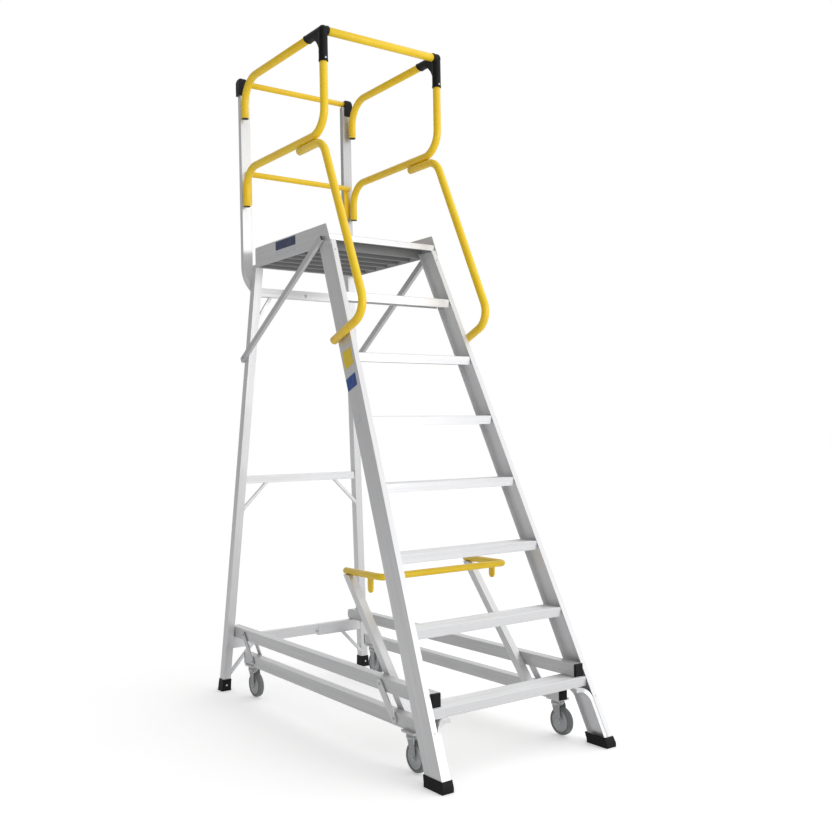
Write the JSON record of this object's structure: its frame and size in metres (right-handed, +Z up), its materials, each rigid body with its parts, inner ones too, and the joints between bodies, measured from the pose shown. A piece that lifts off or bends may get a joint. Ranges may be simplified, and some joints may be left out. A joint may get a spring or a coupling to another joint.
{
  "type": "rolling warehouse ladder",
  "caption": "Free-standing aluminium order-picker ladder with treads, a guarded platform, yellow handrails and a lever that lowers swivel castors to roll it.",
  "frame": {"origin": "on the floor, under the middle of the ladder's box", "axes": "+Z up, +Y from the climbing side towards the rear legs, +X to the right of a person who faces the ladder to climb it"},
  "size_m": [0.933, 1.986, 3.237],
  "materials": {
    "front_stile_L": "satin extrusion",
    "front_stile_R": "satin extrusion",
    "tread_1": "satin extrusion",
    "tread_2": "satin extrusion",
    "tread_3": "satin extrusion",
    "tread_4": "satin extrusion",
    "tread_5": "satin extrusion",
    "tread_6": "satin extrusion",
    "tread_7": "satin extrusion",
    "platform_deck": "satin extrusion",
    "toe_board_L": "satin extrusion",
    "toe_board_R": "satin extrusion",
    "toe_board_rear": "satin extrusion",
    "rear_leg_L": "satin extrusion",
    "rear_leg_R": "satin extrusion",
    "front_shoe_L": "matt",
    "front_shoe_R": "matt",
    "rear_shoe_L": "matt",
    "rear_shoe_R": "matt",
    "stile_brace_L": "satin extrusion",
    "stile_brace_R": "satin extrusion",
    "knee_strut_L": "satin extrusion",
    "knee_strut_R": "satin extrusion",
    "guard_post_L": "satin extrusion",
    "guard_post_R": "satin extrusion",
    "post_cap_L": "moulded black",
    "post_cap_R": "moulded black",
    "guard_corner_L": "moulded black",
    "guard_corner_R": "moulded black",
    "top_side_rail_L": "yellow powder coat, satin",
    "top_side_rail_R": "yellow powder coat, satin",
    "side_loop_L": "yellow powder coat, satin",
    "side_loop_R": "yellow powder coat, satin",
    "handrail_L": "yellow powder coat, satin",
    "handrail_R": "yellow powder coat, satin",
    "upper_rail_L": "satin extrusion",
    "upper_rail_R": "satin extrusion",
    "rail_end_cap_L": "moulded black",
    "rail_end_cap_R": "moulded black",
    "cross_bar_top": "satin extrusion",
    "cross_bar_mid": "satin extrusion",
    "cross_bar_low": "satin extrusion",
    "front_top_bar": "yellow powder coat, satin",
    "rear_top_bar": "yellow powder coat, satin",
    "rear_mid_bar": "yellow powder coat, satin",
    "lever_arm_L": "satin extrusion",
    "lever_arm_R": "satin extrusion",
    "foot_bar": "yellow powder coat, satin",
    "lower_rail_L": "satin extrusion",
    "swing_link_L": "zinc plated",
    "lower_rail_R": "satin extrusion",
    "swing_link_R": "zinc plated",
    "castor_fork_front_L": "pressed, zinc plated",
    "castor_wheel_front_L": "grey tread on a grey hub",
    "castor_fork_front_R": "pressed, zinc plated",
    "castor_wheel_front_R": "grey tread on a grey hub",
    "castor_fork_rear_L": "pressed, zinc plated",
    "castor_wheel_rear_L": "grey tread on a grey hub",
    "castor_fork_rear_R": "pressed, zinc plated",
    "castor_wheel_rear_R": "grey tread on a grey hub"
  },
  "bodies": {
    "frame": {"front_stile_L": "front_stile_L", "front_stile_R": "front_stile_R", "tread_1": "tread_1", "tread_2": "tread_2", "tread_3": "tread_3", "tread_4": "tread_4", "tread_5": "tread_5", "tread_6": "tread_6", "tread_7": "tread_7", "platform_deck": "platform_deck", "toe_board_L": "toe_board_L", "toe_board_R": "toe_board_R", "toe_board_rear": "toe_board_rear", "rear_leg_L": "rear_leg_L", "rear_leg_R": "rear_leg_R", "front_shoe_L": "front_shoe_L", "front_shoe_R": "front_shoe_R", "rear_shoe_L": "rear_shoe_L", "rear_shoe_R": "rear_shoe_R", "stile_brace_L": "stile_brace_L", "stile_brace_R": "stile_brace_R", "knee_strut_L": "knee_strut_L", "knee_strut_R": "knee_strut_R", "guard_post_L": "guard_post_L", "guard_post_R": "guard_post_R", "post_cap_L": "post_cap_L", "post_cap_R": "post_cap_R", "guard_corner_L": "guard_corner_L", "guard_corner_R": "guard_corner_R", "top_side_rail_L": "top_side_rail_L", "top_side_rail_R": "top_side_rail_R", "side_loop_L": "side_loop_L", "side_loop_R": "side_loop_R", "handrail_L": "handrail_L", "handrail_R": "handrail_R", "upper_rail_L": "upper_rail_L", "upper_rail_R": "upper_rail_R", "rail_end_cap_L": "rail_end_cap_L", "rail_end_cap_R": "rail_end_cap_R", "cross_bar_top": "cross_bar_top", "cross_bar_mid": "cross_bar_mid", "cross_bar_low": "cross_bar_low", "front_top_bar": "front_top_bar", "rear_top_bar": "rear_top_bar", "rear_mid_bar": "rear_mid_bar"},
    "lever": {"lever_arm_L": "lever_arm_L", "lever_arm_R": "lever_arm_R", "foot_bar": "foot_bar"},
    "carriage_L": {"lower_rail_L": "lower_rail_L"},
    "link_L": {"swing_link_L": "swing_link_L"},
    "carriage_R": {"lower_rail_R": "lower_rail_R"},
    "link_R": {"swing_link_R": "swing_link_R"},
    "fork_front_L": {"castor_fork_front_L": "castor_fork_front_L"},
    "wheel_front_L": {"castor_wheel_front_L": "castor_wheel_front_L"},
    "fork_front_R": {"castor_fork_front_R": "castor_fork_front_R"},
    "wheel_front_R": {"castor_wheel_front_R": "castor_wheel_front_R"},
    "fork_rear_L": {"castor_fork_rear_L": "castor_fork_rear_L"},
    "wheel_rear_L": {"castor_wheel_rear_L": "castor_wheel_rear_L"},
    "fork_rear_R": {"castor_fork_rear_R": "castor_fork_rear_R"},
    "wheel_rear_R": {"castor_wheel_rear_R": "castor_wheel_rear_R"}
  },
  "joints": [
    {"name": "lever_swing", "type": "hinge", "parent": "frame", "child": "lever", "pos_m": [0, -0.499, 0.314], "axis": [1, 0, 0], "range_deg": [0, 30]},
    {"name": "carriage_pivot_L", "type": "hinge", "parent": "lever", "child": "carriage_L", "pos_m": [-0.38388, -0.599, 0.191], "axis": [1, 0, 0], "range_deg": [-30, 0]},
    {"name": "carriage_pivot_R", "type": "hinge", "parent": "lever", "child": "carriage_R", "pos_m": [0.38388, -0.599, 0.191], "axis": [1, 0, 0], "range_deg": [-30, 0]},
    {"name": "link_swing_L", "type": "hinge", "parent": "frame", "child": "link_L", "pos_m": [-0.37198, 0.801, 0.314], "axis": [1, 0, 0], "range_deg": [0, 30]},
    {"name": "link_swing_R", "type": "hinge", "parent": "frame", "child": "link_R", "pos_m": [0.37198, 0.801, 0.314], "axis": [1, 0, 0], "range_deg": [0, 30]},
    {"name": "swivel_front_L", "type": "hinge", "parent": "carriage_L", "child": "fork_front_L", "pos_m": [-0.39484, -0.712, 0.1265], "axis": [0, 0, 1], "continuous": true},
    {"name": "roll_front_L", "type": "hinge", "parent": "fork_front_L", "child": "wheel_front_L", "pos_m": [-0.39484, -0.737, 0.0665], "axis": [1, 0, 0], "continuous": true},
    {"name": "swivel_front_R", "type": "hinge", "parent": "carriage_R", "child": "fork_front_R", "pos_m": [0.39484, -0.712, 0.1265], "axis": [0, 0, 1], "continuous": true},
    {"name": "roll_front_R", "type": "hinge", "parent": "fork_front_R", "child": "wheel_front_R", "pos_m": [0.39484, -0.737, 0.0665], "axis": [1, 0, 0], "continuous": true},
    {"name": "swivel_rear_L", "type": "hinge", "parent": "carriage_L", "child": "fork_rear_L", "pos_m": [-0.37248, 0.742, 0.1265], "axis": [0, 0, 1], "continuous": true},
    {"name": "roll_rear_L", "type": "hinge", "parent": "fork_rear_L", "child": "wheel_rear_L", "pos_m": [-0.37248, 0.717, 0.0665], "axis": [1, 0, 0], "continuous": true},
    {"name": "swivel_rear_R", "type": "hinge", "parent": "carriage_R", "child": "fork_rear_R", "pos_m": [0.37248, 0.742, 0.1265], "axis": [0, 0, 1], "continuous": true},
    {"name": "roll_rear_R", "type": "hinge", "parent": "fork_rear_R", "child": "wheel_rear_R", "pos_m": [0.37248, 0.717, 0.0665], "axis": [1, 0, 0], "continuous": true}
  ],
  "couplings": [
    {"joint": "carriage_pivot_L", "follows": "lever_swing", "ratio": -1},
    {"joint": "carriage_pivot_R", "follows": "lever_swing", "ratio": -1},
    {"joint": "link_swing_L", "follows": "lever_swing", "ratio": 1},
    {"joint": "link_swing_R", "follows": "lever_swing", "ratio": 1}
  ]
}
